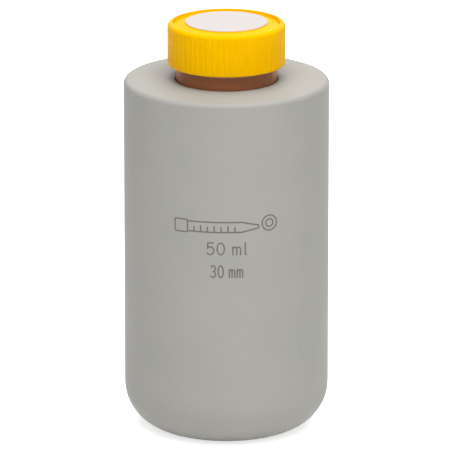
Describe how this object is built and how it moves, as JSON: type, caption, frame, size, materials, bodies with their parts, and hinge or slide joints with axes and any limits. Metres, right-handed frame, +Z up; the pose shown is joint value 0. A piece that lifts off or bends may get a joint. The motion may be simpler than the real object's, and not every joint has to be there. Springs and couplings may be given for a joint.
{
  "type": "centrifuge tube adapter",
  "caption": "Grey cylindrical rotor adapter with a rounded foot and a central bore holding a clear conical-bottom tube closed by a ribbed yellow screw cap with a white label disc.",
  "frame": {"origin": "middle of the adapter's flat foot, where it stands on a surface", "axes": "+Z up along the axis of the adapter, tube and cap; the screw thread of the tube starts at +X; -Y is the face that carries the marking"},
  "size_m": [0.061, 0.061, 0.1243],
  "materials": {
    "adapter_plastic": "satin turned",
    "tube_plastic": "clear polished, faintly tinted",
    "seal_foam": "soft matte",
    "cap_plastic": "moulded semi-gloss",
    "label_paper": "matte write-on"
  },
  "bodies": {
    "adapter": {"adapter_body": "adapter_plastic", "tube": "tube_plastic"},
    "seal": {"seal_disc": "seal_foam"},
    "cap": {"screw_cap": "cap_plastic", "cap_label": "label_paper"}
  },
  "joints": [
    {"name": "cap_lift", "type": "slide", "parent": "adapter", "child": "seal", "axis": [0, 0, 1], "range_m": [0, 0.00482]},
    {"name": "cap_turn", "type": "hinge", "parent": "seal", "child": "cap", "pos_m": [0, 0, 0.122], "axis": [0, 0, 1], "range_deg": [0, 495]}
  ],
  "couplings": [
    {"joint": "cap_lift", "follows": "cap_turn", "m_per_rad": 0.00055704}
  ]
}
